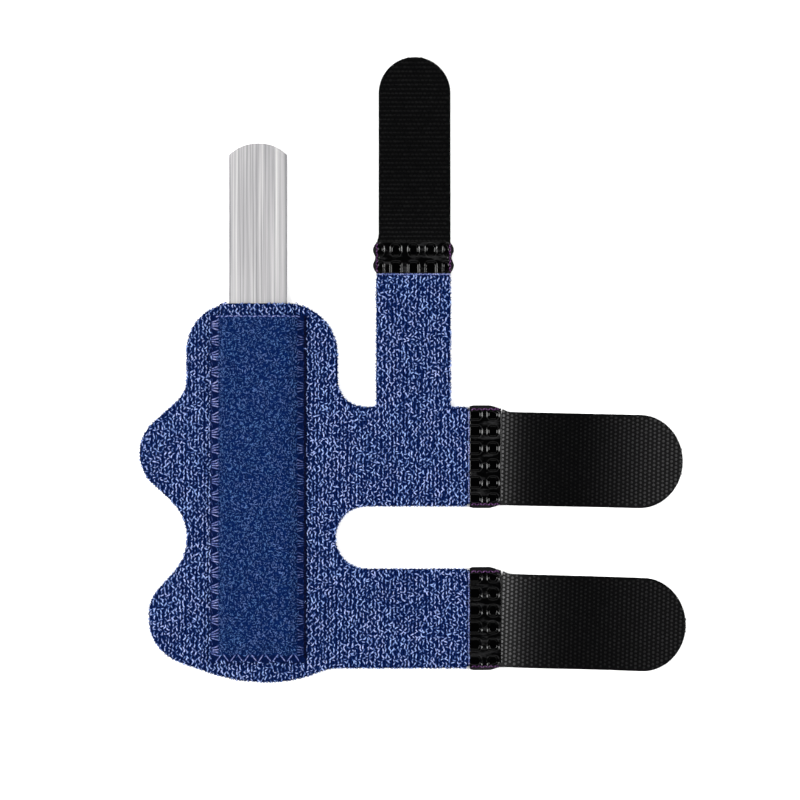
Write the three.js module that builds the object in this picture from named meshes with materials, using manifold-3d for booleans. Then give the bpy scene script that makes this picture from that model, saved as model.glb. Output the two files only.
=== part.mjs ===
// A finger splint, opened out and lying on its back: a knitted wrap with three hook straps, a velour panel
// over the wrap's pocket, and an aluminium stay that slides in the pocket.
// Millimetres, +Z up. The origin is on the resting face, under the middle of the pocket. +Y runs along the
// finger, towards the end where the stay comes out, and +X towards the two finger straps.
import * as THREE from "three";
import { mergeVertices } from "three/addons/utils/BufferGeometryUtils.js";
import Module from "manifold-3d";

// Clearances
const GAP = 0.3; // between two pieces that lie against each other
const TUNNEL_CLEARANCE = 0.2; // above and below a tape in its joint band
const TUNNEL_SIDE_CLEARANCE = 0.4; // beside a tape in its joint band

// Aluminium stay
const STAY_WIDTH = 15.4;
const STAY_THICKNESS = 1.0;
const STAY_LENGTH = 88;
const STAY_END_RISE = 3.1; // how far a round end stands past its corners
const STAY_EDGE = 0.15; // chamfer
const STAY_PULLED_OUT = 42.8; // tip above the wrap's top edge

// Knitted wrap: two plies, with the pocket between them
const BACK_PLY = 1.0;
const FRONT_PLY = 1.4;
const WRAP_EDGE_ROUND = 0.9;
const WRAP_ABOVE = 49.8; // top edge, from the origin
const WRAP_BELOW = 51.4; // bottom edge, from the origin
const TAB_LEFT = 19.1;
const TAB_RIGHT = 21.2;
const TAB_LEFT_ROUND = 12.4;
const TAB_RIGHT_ROUND = 13.6;
const WAIST_DROP = 23.8; // from the top edge down to the left waist
const WAIST_ROUND = 8;
const UPPER_LOBE_REACH = 37.1; // where the lobe's two edges would meet
const UPPER_LOBE_Y = 10;
const UPPER_LOBE_ROUND = 11.1;
const NOTCH_REACH = 13.4; // where the notch's two edges would meet
const NOTCH_Y = -12.1;
const NOTCH_ROUND = 13.7;
const LOWER_LOBE_REACH = 29.2;
const LOWER_LOBE_TOP_RISE = 22.1; // above the bottom edge
const LOWER_LOBE_TOP_ROUND = 9.8;
const LOWER_LOBE_FOOT_RISE = 8.3; // above the bottom edge
const LOWER_LOBE_FOOT_ROUND = 12;
const HEEL_LEFT = 5.9;
const HEEL_LEFT_ROUND = 40;
const HEEL_RIGHT = 8.7;
const HEEL_RIGHT_ROUND = 30;
const HEEL_SLOPE = 10.6; // length of the slope from the heel to the lower arm
const HEEL_SLOPE_ROUND = 12;

// Arms of the wrap
const ARM_PAST = 4.9; // length of the two finger arms past the top arm
const ARM_WIDTH = 26.4;
const UPPER_ARM_Y = 8.9;
const LOWER_ARM_Y = -34.4;
const SLOT_END = 20.6; // round end of the slot between the finger arms
const SLOT_ROUND = 8.4;
const TOP_ARM_X = 41.5;
const TOP_ARM_WIDTH = 19.8;
const TOP_ARM_REACH = 57.6;
const BAY_ROUND = 7.4; // corner between the tab and the upper arm
const INNER_CORNER_ROUND = 0.7;
const ARM_CORNER_ROUND = 1.3;

// Velour panel over the pocket, and the pocket's own shape
const PANEL_WIDTH = 25.6;
const PANEL_THICKNESS = 1.3;
const SEAM_THICKNESS = 0.6; // where the panel is sewn down
const SEAM_WIDTH = 3.0;
const HEM_ABOVE = 3.1; // knit that shows above the panel
const HEM_BELOW = 5.2; // knit that shows below the panel
const PANEL_EDGE_ROUND = 0.35;
const POCKET_END_FALL = 4.5; // length over which the pocket flattens at its closed end

// Hook straps
const STRAP_THICKNESS = 1.0;
const STRAP_EDGE = 0.25;
const FINGER_STRAP_WIDTH = 25;
const TOP_STRAP_WIDTH = 19.2;
const STRAP_LIFT = 0.8; // how far a strap's waves rise
const ROOT_TUCK = 0.5; // how much narrower a strap's root is, on each side, in its joint band

// Each strap's arm and tape: how far it reaches past its joint band, the length of its round tip, how far
// it sits to the left of its arm's middle line, looking along it, and how many degrees it leans left.
const STRAPS = {
  top: { width: TOP_STRAP_WIDTH, reach: 49.5, tip: 9.6, shift: -0.3, lean: 0 },
  upper: { width: FINGER_STRAP_WIDTH, reach: 48.6, tip: 11.5, shift: -0.5, lean: -1.3 },
  lower: { width: FINGER_STRAP_WIDTH, reach: 49.4, tip: 11.5, shift: -0.5, lean: -1.8 },
};

// Joint bands
const BAND_LENGTH = 8.3; // along the strap
const BAND_OVERHANG = 1.3; // past the strap's edges
const BAND_FLOOR = 0.6; // wall under the tape
const BAND_ROOF = 1.3; // wall over the tape
const BAND_EDGE_ROUND = 0.45;
const BAND_CORNER_CUT = 0.5;
const BAND_WAIST = 0.45; // dip between the two bulges of a band's end
const INSERTION = 3.7; // depth of the tape and of the knit tongue in the band
const PIT_PITCH = 4.5; // across the strap
const PIT_COLUMN_PITCH = 4.2; // along the strap
const PIT_LENGTH = 2.7; // along the strap
const PIT_WIDTH = 3.2; // across the strap
const PIT_DEPTH = 0.9;
const PIT_TAPER = 0.7; // floor's size as a share of the mouth's

// Facets
const ARC_STEP = 10; // degrees of a corner's arc to a facet
const ARC_FACET = 0.5; // a facet's least length
const PIT_SIDES = 10;
const TIP_STEPS = 8;

// Sizes that follow from these
const SHEET = BACK_PLY + FRONT_PLY;
const ARM_REACH = TOP_ARM_X + TOP_ARM_WIDTH / 2 + ARM_PAST;
const POCKET_HALF = STAY_WIDTH / 2 + GAP;
const POCKET_HEIGHT = STAY_THICKNESS + 2 * GAP;
const PANEL_TOP = WRAP_ABOVE - HEM_ABOVE;
const PANEL_BOTTOM = HEM_BELOW - WRAP_BELOW;
const SEAM_INNER = PANEL_WIDTH / 2 - SEAM_WIDTH;
const POCKET_FOOT = PANEL_BOTTOM + SEAM_WIDTH;
const POCKET_BOTTOM = POCKET_FOOT + POCKET_END_FALL;
const TUNNEL_HEIGHT = STRAP_THICKNESS + 2 * TUNNEL_CLEARANCE;
const TAPE_Z = BAND_FLOOR + TUNNEL_CLEARANCE;
const BAND_HEIGHT = BAND_FLOOR + TUNNEL_HEIGHT + BAND_ROOF;

// A strap's wave: a share of its reach along it, and its underside's height as a share of STRAP_LIFT above
// the resting face. The first rows are level, in the joint band.
const STRAP_WAVE = [
  { along: 0.0, rise: 1.0 },
  { along: 0.04, rise: 1.02 },
  { along: 0.1, rise: 1.3 },
  { along: 0.17, rise: 1.38 },
  { along: 0.26, rise: 1.05 },
  { along: 0.36, rise: 0.55 },
  { along: 0.47, rise: 0.15 },
  { along: 0.58, rise: 0.05 },
  { along: 0.7, rise: 0.35 },
  { along: 0.85, rise: 0.95 },
  { along: 1.0, rise: 1.6 },
];

const wasm = await Module();
wasm.setup();

// Geometry as a solid for joining and cutting.
function solid(geometry) {
  const bare = new THREE.BufferGeometry();
  bare.setAttribute("position", geometry.getAttribute("position"));
  bare.setIndex(geometry.index);
  const merged = mergeVertices(bare, 1e-4);
  return new wasm.Manifold(
    new wasm.Mesh({
      numProp: 3,
      vertProperties: merged.attributes.position.array,
      triVerts: new Uint32Array(merged.index.array),
    }),
  );
}

// A solid as geometry for a mesh.
function geometryOf(made) {
  const { numProp, vertProperties, triVerts } = made.getMesh();
  const positions = new Float32Array((vertProperties.length / numProp) * 3);
  for (let i = 0; i < positions.length / 3; i++) {
    positions.set(vertProperties.subarray(i * numProp, i * numProp + 3), i * 3);
  }
  const geometry = new THREE.BufferGeometry();
  geometry.setAttribute("position", new THREE.BufferAttribute(positions, 3));
  geometry.setIndex(new THREE.BufferAttribute(triVerts, 1));
  geometry.computeVertexNormals();
  return geometry;
}

// A box from its lowest to its highest corner.
function box(low, high) {
  const size = new THREE.Vector3(...high).sub(new THREE.Vector3(...low));
  const middle = new THREE.Vector3(...low).addScaledVector(size, 0.5);
  return new THREE.BoxGeometry(size.x, size.y, size.z).translate(middle.x, middle.y, middle.z);
}

// The outline of a polygon with rounded corners, each corner with its own radius. A radius is limited by
// the edges on both sides of it.
function roundedOutline(corners) {
  const count = corners.length;
  const points = corners.map(({ x, y }) => new THREE.Vector2(x, y));
  const turns = points.map((at, i) => {
    const back = points[(i + count - 1) % count].clone().sub(at).normalize();
    const ahead = points[(i + 1) % count].clone().sub(at).normalize();
    const turn = Math.PI - Math.acos(THREE.MathUtils.clamp(back.dot(ahead), -1, 1));
    return { back, ahead, turn, tangent: corners[i].r * Math.tan(turn / 2) };
  });
  const shares = turns.map((_, i) => {
    const next = (i + 1) % count;
    const edge = points[i].distanceTo(points[next]);
    return Math.min(1, (0.999 * edge) / (turns[i].tangent + turns[next].tangent));
  });
  return corners.flatMap(({ r }, i) => {
    const share = Math.min(shares[i], shares[(i + count - 1) % count]);
    const { back, ahead, turn, tangent } = turns[i];
    const start = points[i].clone().addScaledVector(back, tangent * share);
    const end = points[i].clone().addScaledVector(ahead, tangent * share);
    const inward = back.clone().add(ahead).normalize();
    const centre = points[i].clone().addScaledVector(inward, (r * share) / Math.cos(turn / 2));
    const from = start.clone().sub(centre);
    const side = Math.sign(from.cross(end.clone().sub(centre)));
    const finest = (r * share * turn) / ARC_FACET;
    const steps = Math.max(1, Math.round(Math.min(THREE.MathUtils.radToDeg(turn) / ARC_STEP, finest)));
    return Array.from({ length: steps + 1 }, (_, k) =>
      centre.clone().add(from.clone().rotateAround(new THREE.Vector2(), (side * turn * k) / steps)),
    );
  });
}

// An outline as a plate from z 0 up, with its edges rounded off inwards.
function plate(outline, thickness, round, roundSteps) {
  const edge = Math.min(round, 0.49 * thickness);
  const geometry = new THREE.ExtrudeGeometry(new THREE.Shape(outline), {
    depth: thickness - 2 * edge,
    bevelEnabled: true,
    bevelThickness: edge,
    bevelSize: edge,
    bevelOffset: -edge,
    bevelSegments: roundSteps,
  });
  return geometry.translate(0, 0, edge);
}

// Closed geometry through rings of as many points each, with both ends capped.
function loft(rings) {
  const size = rings[0].length;
  const positions = rings.flat().flatMap((p) => [p.x, p.y, p.z]);
  const index = [];
  for (let i = 0; i + 1 < rings.length; i++) {
    for (let j = 0; j < size; j++) {
      const next = (j + 1) % size;
      const [a, b, c, d] = [i * size + j, i * size + next, (i + 1) * size + next, (i + 1) * size + j];
      index.push(a, b, c, a, c, d);
    }
  }
  const last = (rings.length - 1) * size;
  for (let j = 1; j + 1 < size; j++) {
    index.push(0, j + 1, j, last, last + j, last + j + 1);
  }
  const geometry = new THREE.BufferGeometry();
  geometry.setAttribute("position", new THREE.Float32BufferAttribute(positions, 3));
  return geometry.setIndex(index);
}

// A closed sheet over a grid of x and y stations, between two heights that are functions of x and y.
function gridSheet(xs, ys, lower, upper) {
  const rings = ys.map((y) => [
    ...xs.map((x) => new THREE.Vector3(x, y, lower(x, y))),
    ...xs.toReversed().map((x) => new THREE.Vector3(x, y, upper(x, y))),
  ]);
  // The caps join each lower point to the upper point over it, because a fan would cross an arched end.
  const count = xs.length;
  const size = 2 * count;
  const geometry = loft(rings);
  const index = Array.from(geometry.index.array).slice(0, -6 * (size - 2));
  const last = (rings.length - 1) * size;
  for (let j = 0; j + 1 < count; j++) {
    const [a, b, c, d] = [j, j + 1, size - 2 - j, size - 1 - j];
    index.push(a, c, b, a, d, c, last + a, last + b, last + c, last + a, last + c, last + d);
  }
  // Rings that run along +Y with their lower side first face inwards, so each triangle is turned round.
  for (let i = 0; i < index.length; i += 3) {
    [index[i + 1], index[i + 2]] = [index[i + 2], index[i + 1]];
  }
  return geometry.setIndex(index);
}

// A share from 0 to 1, eased as a quarter of a cosine: level at 1 and sloping at 0.
function easedFall(share) {
  return Math.sin((THREE.MathUtils.clamp(share, 0, 1) * Math.PI) / 2);
}

// How far the pocket lifts the front ply at a place: level over the stay, and falling to the seams.
function pocketRise(x, y) {
  const across = easedFall((SEAM_INNER - Math.abs(x)) / (SEAM_INNER - STAY_WIDTH / 2));
  const along = easedFall((y - POCKET_FOOT) / POCKET_END_FALL);
  return POCKET_HEIGHT * across * along;
}

// Stations from one value to another, with both ends.
function stations(from, to, steps) {
  return Array.from({ length: steps + 1 }, (_, i) => from + ((to - from) * i) / steps);
}

// Values mirrored about 0, in rising order.
function mirrored(values) {
  return [...values.map((v) => -v).toReversed(), 0, ...values];
}

// The wrap's outline, clockwise from the tab's top left corner, as corners with radii.
function wrapCorners() {
  const armTop = UPPER_ARM_Y + ARM_WIDTH / 2;
  const slotTop = UPPER_ARM_Y - ARM_WIDTH / 2;
  const slotBottom = LOWER_ARM_Y + ARM_WIDTH / 2;
  const armBottom = LOWER_ARM_Y - ARM_WIDTH / 2;
  const topArmLeft = TOP_ARM_X - TOP_ARM_WIDTH / 2;
  const topArmRight = TOP_ARM_X + TOP_ARM_WIDTH / 2;
  return [
    { x: -TAB_LEFT, y: WRAP_ABOVE, r: TAB_LEFT_ROUND },
    { x: TAB_RIGHT, y: WRAP_ABOVE, r: TAB_RIGHT_ROUND },
    { x: TAB_RIGHT, y: armTop, r: BAY_ROUND },
    { x: topArmLeft, y: armTop, r: INNER_CORNER_ROUND },
    { x: topArmLeft, y: TOP_ARM_REACH, r: ARM_CORNER_ROUND },
    { x: topArmRight, y: TOP_ARM_REACH, r: ARM_CORNER_ROUND },
    { x: topArmRight, y: armTop, r: INNER_CORNER_ROUND },
    { x: ARM_REACH, y: armTop, r: ARM_CORNER_ROUND },
    { x: ARM_REACH, y: slotTop, r: ARM_CORNER_ROUND },
    { x: SLOT_END, y: slotTop, r: SLOT_ROUND },
    { x: SLOT_END, y: slotBottom, r: SLOT_ROUND },
    { x: ARM_REACH, y: slotBottom, r: ARM_CORNER_ROUND },
    { x: ARM_REACH, y: armBottom, r: ARM_CORNER_ROUND },
    { x: HEEL_RIGHT + HEEL_SLOPE, y: armBottom, r: HEEL_SLOPE_ROUND },
    { x: HEEL_RIGHT, y: -WRAP_BELOW, r: HEEL_RIGHT_ROUND },
    { x: -HEEL_LEFT, y: -WRAP_BELOW, r: HEEL_LEFT_ROUND },
    { x: -LOWER_LOBE_REACH, y: LOWER_LOBE_FOOT_RISE - WRAP_BELOW, r: LOWER_LOBE_FOOT_ROUND },
    { x: -LOWER_LOBE_REACH, y: LOWER_LOBE_TOP_RISE - WRAP_BELOW, r: LOWER_LOBE_TOP_ROUND },
    { x: -NOTCH_REACH, y: NOTCH_Y, r: NOTCH_ROUND },
    { x: -UPPER_LOBE_REACH, y: UPPER_LOBE_Y, r: UPPER_LOBE_ROUND },
    { x: -TAB_LEFT, y: WRAP_ABOVE - WAIST_DROP, r: WAIST_ROUND },
  ];
}

// The arched stretch of the front ply over the pocket, from inside the sheet up. Its top edge is rounded
// like the sheet's, and its sides run on down into the sheet.
function pocketArch() {
  const sunk = BACK_PLY / 2;
  const rounded = (y) => {
    const past = THREE.MathUtils.clamp(y - (WRAP_ABOVE - WRAP_EDGE_ROUND), 0, WRAP_EDGE_ROUND);
    return WRAP_EDGE_ROUND - Math.sqrt(WRAP_EDGE_ROUND ** 2 - past ** 2);
  };
  const slope = stations(STAY_WIDTH / 2, SEAM_INNER, 4);
  const xs = mirrored([...slope, SEAM_INNER + sunk]);
  const foot = stations(POCKET_FOOT, POCKET_BOTTOM, 4);
  const lip = [WRAP_EDGE_ROUND, 0.5 * WRAP_EDGE_ROUND, 0.15 * WRAP_EDGE_ROUND, 0];
  const ys = [POCKET_FOOT - sunk, ...foot, ...lip.map((back) => WRAP_ABOVE - back)];
  const top = (x, y) => {
    const outside = Math.abs(x) > SEAM_INNER || y < POCKET_FOOT;
    return SHEET + (outside ? -sunk : pocketRise(x, y)) - rounded(y);
  };
  return gridSheet(xs, ys, () => BACK_PLY / 2, top);
}

// The tongue that carries an arm's end into its joint band: it lies on the tape's level.
function tongue(width) {
  const overlap = 2; // how far the tongue's root lies inside the arm
  return box([-overlap, -width / 2, TAPE_Z], [GAP + INSERTION, width / 2, TAPE_Z + STRAP_THICKNESS]);
}

// The wrap: a sheet with rounded edges, arched over the pocket and with a tongue at each arm's end.
function wrapGeometry() {
  const sheet = plate(roundedOutline(wrapCorners()), SHEET, WRAP_EDGE_ROUND, 3);
  const mouth = WRAP_ABOVE + STAY_PULLED_OUT;
  const pocketFloor = [-POCKET_HALF, POCKET_BOTTOM, BACK_PLY];
  const pocket = box(pocketFloor, [POCKET_HALF, mouth, BACK_PLY + POCKET_HEIGHT]);
  const fingerTongue = tongue(FINGER_STRAP_WIDTH);
  const topTongue = tongue(TOP_STRAP_WIDTH).rotateZ(Math.PI / 2);
  return geometryOf(
    solid(sheet)
      .add(solid(pocketArch()))
      .add(solid(fingerTongue.clone().translate(ARM_REACH, UPPER_ARM_Y, 0)))
      .add(solid(fingerTongue.clone().translate(ARM_REACH, LOWER_ARM_Y, 0)))
      .add(solid(topTongue.translate(TOP_ARM_X, TOP_ARM_REACH, 0)))
      .subtract(solid(pocket)),
  );
}

// The velour panel: it follows the arched front ply a gap above it, and is pressed thin along the seams on
// its two sides and its bottom edge.
function panelGeometry() {
  const half = PANEL_WIDTH / 2;
  const slope = stations(STAY_WIDTH / 2, SEAM_INNER, 4);
  const xs = mirrored([STAY_WIDTH / 4, ...slope, SEAM_INNER + SEAM_WIDTH / 4, half - PANEL_EDGE_ROUND, half]);
  const ys = [
    PANEL_BOTTOM,
    PANEL_BOTTOM + PANEL_EDGE_ROUND,
    POCKET_FOOT - SEAM_WIDTH / 4,
    ...stations(POCKET_FOOT, POCKET_BOTTOM, 4),
    ...stations(0.5 * PANEL_BOTTOM, 0.9 * PANEL_TOP, 3),
    PANEL_TOP - PANEL_EDGE_ROUND,
    PANEL_TOP,
  ];
  const under = (x, y) => SHEET + GAP + pocketRise(x, y);
  const over = (x, y) => {
    const fromSide = (half - SEAM_WIDTH / 2 - Math.abs(x)) / SEAM_WIDTH;
    const fromBottom = (y - PANEL_BOTTOM - SEAM_WIDTH / 2) / SEAM_WIDTH;
    const padded = easedFall(fromSide) * easedFall(fromBottom);
    const edge = Math.abs(x) === half || y === PANEL_BOTTOM || y === PANEL_TOP ? PANEL_EDGE_ROUND : 0;
    return under(x, y) + SEAM_THICKNESS + (PANEL_THICKNESS - SEAM_THICKNESS) * padded - edge;
  };
  return gridSheet(xs, ys, under, over);
}

// The stay: a flat bar with both ends cut to a shallow arc, its lower end at local y 0.
function stayGeometry() {
  const half = STAY_WIDTH / 2;
  const radius = (half ** 2 + STAY_END_RISE ** 2) / (2 * STAY_END_RISE);
  const reach = Math.asin(half / radius);
  const arc = stations(-reach, reach, 12).map((a) => new THREE.Vector2(Math.sin(a), Math.cos(a)));
  const topCentre = new THREE.Vector2(0, STAY_LENGTH - radius);
  const bottomCentre = new THREE.Vector2(0, radius);
  const top = arc.map((p) => p.clone().multiplyScalar(radius).add(topCentre));
  const bottom = arc.map((p) => p.clone().multiplyScalar(-radius).add(bottomCentre));
  return plate([...top, ...bottom], STAY_THICKNESS, STAY_EDGE, 1);
}

// A strap along +X from its joint band's outer face at x 0, with its root inside the band.
function strapGeometry({ width, reach, tip }) {
  const tipStart = reach - tip;
  const wave = STRAP_WAVE.map(({ along, rise }) => ({ x: along * reach, z: rise * STRAP_LIFT }));
  const underside = (x) => {
    const i = Math.max(1, wave.findIndex((knot) => knot.x >= x));
    const [a, b] = [wave[i - 1], wave[i]];
    return THREE.MathUtils.mapLinear(x, a.x, b.x, a.z, b.z);
  };
  const halfAt = (x) => {
    const past = THREE.MathUtils.clamp((x - tipStart) / tip, 0, 1);
    return (width / 2) * Math.sqrt(1 - past ** 2);
  };
  const lastTurn = 0.965; // share of a right angle where the tip's last section is
  const round = stations(0, (lastTurn * Math.PI) / 2, TIP_STEPS).map((a) => tipStart + tip * Math.sin(a));
  const xs = [...wave.map((knot) => knot.x).filter((x) => x > 0 && x < tipStart - 1), ...round];
  const rootHalf = width / 2 - ROOT_TUCK;
  const sections = [
    { x: -INSERTION, half: rootHalf, z: TAPE_Z },
    { x: 0, half: rootHalf, z: TAPE_Z },
    { x: ROOT_TUCK, half: width / 2, z: TAPE_Z },
    ...xs.map((x) => ({ x, half: halfAt(x), z: underside(x) })),
  ];
  return loft(
    sections.map(({ x, half, z }) =>
      [
        [-half, z + STRAP_EDGE],
        [STRAP_EDGE - half, z],
        [half - STRAP_EDGE, z],
        [half, z + STRAP_EDGE],
        [half, z + STRAP_THICKNESS - STRAP_EDGE],
        [half - STRAP_EDGE, z + STRAP_THICKNESS],
        [STRAP_EDGE - half, z + STRAP_THICKNESS],
        [-half, z + STRAP_THICKNESS - STRAP_EDGE],
      ].map(([y, height]) => new THREE.Vector3(x, y, height)),
    ),
  );
}

// A pit's cutter: a tapered, many-sided well whose floor is at local z 0.
function pitCutter() {
  const above = 0.5; // height of the cutter over the band's roof
  const height = PIT_DEPTH + above;
  const mouth = 0.5 * (PIT_TAPER + ((1 - PIT_TAPER) * height) / PIT_DEPTH);
  const well = new THREE.CylinderGeometry(mouth, 0.5 * PIT_TAPER, height, PIT_SIDES);
  return well.rotateX(Math.PI / 2).translate(0, 0, height / 2).scale(PIT_LENGTH, PIT_WIDTH, 1);
}

// A joint band from x 0 to its length: it holds the arm's tongue and the tape's root in one tunnel, and
// has two columns of pits pressed into its roof.
function bandGeometry(strapWidth) {
  const half = strapWidth / 2 + BAND_OVERHANG;
  const dip = half - BAND_WAIST;
  const shoulder = half - BAND_CORNER_CUT;
  const bulge = PIT_COLUMN_PITCH / 2;
  const middle = BAND_LENGTH / 2;
  const end = [
    { x: 0, y: shoulder, r: 0.5 },
    { x: middle - bulge, y: half, r: 1.6 },
    { x: middle, y: dip, r: 0.8 },
    { x: middle + bulge, y: half, r: 1.6 },
    { x: BAND_LENGTH, y: shoulder, r: 0.5 },
  ];
  const outline = roundedOutline([...end, ...end.toReversed().map(({ x, y, r }) => ({ x, y: -y, r }))]);
  const tunnelHalf = strapWidth / 2 + TUNNEL_SIDE_CLEARANCE;
  const past = 1; // how far a cutter runs past the band
  const tunnel = box(
    [-past, -tunnelHalf, BAND_FLOOR],
    [BAND_LENGTH + past, tunnelHalf, BAND_FLOOR + TUNNEL_HEIGHT],
  );
  const rows = Math.max(1, Math.round((2 * half) / PIT_PITCH));
  let band = solid(plate(outline, BAND_HEIGHT, BAND_EDGE_ROUND, 2)).subtract(solid(tunnel));
  for (let row = 0; row < rows; row++) {
    for (const column of [-0.5, 0.5]) {
      const x = middle + column * PIT_COLUMN_PITCH;
      const y = (row - (rows - 1) / 2) * PIT_PITCH;
      band = band.subtract(solid(pitCutter().translate(x, y, BAND_HEIGHT - PIT_DEPTH)));
    }
  }
  return geometryOf(band);
}

const knit = new THREE.MeshStandardMaterial({ color: 0x3f5788, roughness: 0.95, metalness: 0 });
const velour = new THREE.MeshStandardMaterial({ color: 0x203a6e, roughness: 1, metalness: 0 });
const aluminium = new THREE.MeshStandardMaterial({ color: 0xcbc9ca, roughness: 0.35, metalness: 1 });
const hookTape = new THREE.MeshStandardMaterial({ color: 0x161617, roughness: 0.7, metalness: 0 });
const gloss = new THREE.MeshStandardMaterial({ color: 0x09090a, roughness: 0.2, metalness: 0 });

function named(name, geometry, material) {
  const mesh = new THREE.Mesh(geometry, material.clone());
  mesh.name = name;
  return mesh;
}

// A joint band with its strap, at the end of an arm that ends at x and y and runs at an angle from +X.
function strapOnBand(name, x, y, angle) {
  const { width, shift, lean } = STRAPS[name];
  const strap = named(`strap_${name}`, strapGeometry(STRAPS[name]), hookTape);
  strap.position.set(GAP + BAND_LENGTH, shift, 0);
  strap.rotation.z = THREE.MathUtils.degToRad(lean);
  const band = named(`joint_band_${name}`, bandGeometry(width), gloss);
  band.position.x = GAP;
  const group = new THREE.Group().add(band, strap);
  group.position.set(x, y, 0);
  group.rotation.z = THREE.MathUtils.degToRad(angle);
  return group;
}

const splint = new THREE.Group();
splint.add(named("wrap", wrapGeometry(), knit));
splint.add(named("pocket_panel", panelGeometry(), velour));

const stay = named("stay", stayGeometry(), aluminium);
stay.position.set(0, WRAP_ABOVE + STAY_PULLED_OUT - STAY_LENGTH, BACK_PLY + GAP);
splint.add(stay);

splint.add(strapOnBand("top", TOP_ARM_X, TOP_ARM_REACH, 90));
splint.add(strapOnBand("upper", ARM_REACH, UPPER_ARM_Y, 0));
splint.add(strapOnBand("lower", ARM_REACH, LOWER_ARM_Y, 0));

export default splint;
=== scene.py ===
"""A finger splint laid open on its back: knit loops, velour pile, stitching, hook tape and pressed bands,
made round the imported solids."""

import math

import bmesh
import bpy
import numpy as np
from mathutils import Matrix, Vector, noise


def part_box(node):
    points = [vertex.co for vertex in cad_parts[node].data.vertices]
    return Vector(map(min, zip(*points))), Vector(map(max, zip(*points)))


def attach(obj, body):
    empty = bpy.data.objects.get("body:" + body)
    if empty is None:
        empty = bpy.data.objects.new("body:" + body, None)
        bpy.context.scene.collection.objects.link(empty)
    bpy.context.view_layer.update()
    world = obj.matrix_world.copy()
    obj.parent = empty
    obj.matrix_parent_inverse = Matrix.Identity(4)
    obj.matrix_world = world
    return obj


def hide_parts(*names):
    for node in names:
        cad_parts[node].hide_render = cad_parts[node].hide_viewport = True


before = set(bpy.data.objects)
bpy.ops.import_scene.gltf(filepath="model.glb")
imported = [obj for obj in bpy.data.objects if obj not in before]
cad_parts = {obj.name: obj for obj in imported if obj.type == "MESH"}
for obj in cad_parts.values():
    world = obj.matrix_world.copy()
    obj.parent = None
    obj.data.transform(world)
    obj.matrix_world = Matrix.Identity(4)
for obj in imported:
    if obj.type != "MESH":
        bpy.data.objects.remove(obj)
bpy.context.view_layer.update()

MM = 0.001
BODY = "wrap"
MERGE_DISTANCE = 0.001 * MM
RAY_RISE = 20 * MM  # how far above the cloth the rays start that find it
RESTING_HEIGHT = 0.1 * MM  # faces below it lie on the floor

# Knit loops of the wrap
LOOP = {
    "Loop Length": 1.08 * MM,
    "Loop Rise": 0.34 * MM,
    "Loop Bow": 0.28 * MM,
    "Yarn Radius": 0.145 * MM,
}
FRONT_LOOPS = {
    "Wale Pitch": 1.0 * MM,
    "Course Pitch": 0.83 * MM,
    "Loop Lean": 0.52,  # radians, to one side and the other by turns
    **LOOP,
}
RIM_LOOPS = {"Rim Spacing": 0.75 * MM, **LOOP}
LOOP_JITTER = 0.27  # share of the wale pitch
LOOP_SCALES = (0.75, 1.25)
RIM_LOOP_SCALES = (0.6, 0.85)
LOOP_PATCHES = 45.0  # patches of looser and tighter loops to the metre
LEVEL_FROM = 0.35  # upward part of the normal from which a place carries front loops or hooks
RIM_BELOW = 0.62  # and below which it carries rim loops
RIM_DENSITY = 4.0e6  # points to the square metre before they are thinned to their spacing
STAY_CLEARANCE = 0.9 * MM  # bare knit round the stay's path
BARE_INSET = (0.6 * MM, 0.25 * MM)  # how far loops go under the panel, at its left and foot and at its right
BAND_GAP = 0.4 * MM  # bare knit before a joint band

# Velour pile of the pocket panel
PILE = {"Spacing": 0.385 * MM, "Length": 0.92 * MM, "Rise": 0.24 * MM, "Radius": 0.125 * MM}
PILE_INSET = 2.3 * MM  # the sewn sides have none
PILE_SCALES = (0.6, 1.25)
PILE_DENSITY = 2.0e7
PANEL_TOP_GAP = 0.4 * MM  # from the pile and the seams to the panel's top edge

# Stitching: fans of spokes down the panel's sides, a zigzag along its foot, and nearly straight lines, one
# of them a near-black line of painted shadow along the panel's right edge
STITCH_PERIOD = 4.1 * MM
STITCH_WIDTH = 2.6 * MM
STITCH_INSET = 1.5 * MM  # the seam's middle line, from the panel's edge
STITCH_STEPS = 8.0  # points to a spoke
STITCH_LIFT = 1.2  # height over the cloth, in radii of the thread
STITCH_DIP = 1.8  # how much lower it is at its turns
FAN_LIFT = 1.6  # how much higher at a fan's outer end
FAN_SHADE = 0.7  # how much darker its thread is there
FANS = {
    "left": {"spokes": 4, "gather": 0.62, "radius": 0.17 * MM, "return_depth": 0.55 * MM},
    "right": {"spokes": 4, "gather": 0.58, "radius": 0.165 * MM, "return_depth": 0.55 * MM},
}
FOOT_ZIGZAG = {"radius": 0.135 * MM}
# a near-black thread along the panel's right edge: painted shadow of its cut edge
SHADOW_LINE = {"radius": 0.22 * MM, "period": 1.9 * MM}
SHADOW_LINE_SWING = 0.1 * MM
HEM_LINE = {"radius": 0.17 * MM, "period": 2.4 * MM}
HEM_SWING = 0.15 * MM
KNIT_EDGE = {"radius": 0.22 * MM, "period": 1.25 * MM}
KNIT_EDGE_SWING = 0.15 * MM
KNIT_EDGE_INSET = 0.9 * MM  # from a band's sides
KNIT_EDGE_BACK = 0.25 * MM  # from a band's inner face
BAND_THREAD = {"radius": 0.13 * MM, "period": 1.4 * MM}
BAND_THREAD_SWING = 0.28 * MM
BAND_THREAD_INSET = 1.05 * MM
BAND_THREAD_ENDS = (0.3 * MM, 0.5 * MM)  # from the band's inner and outer faces

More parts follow.
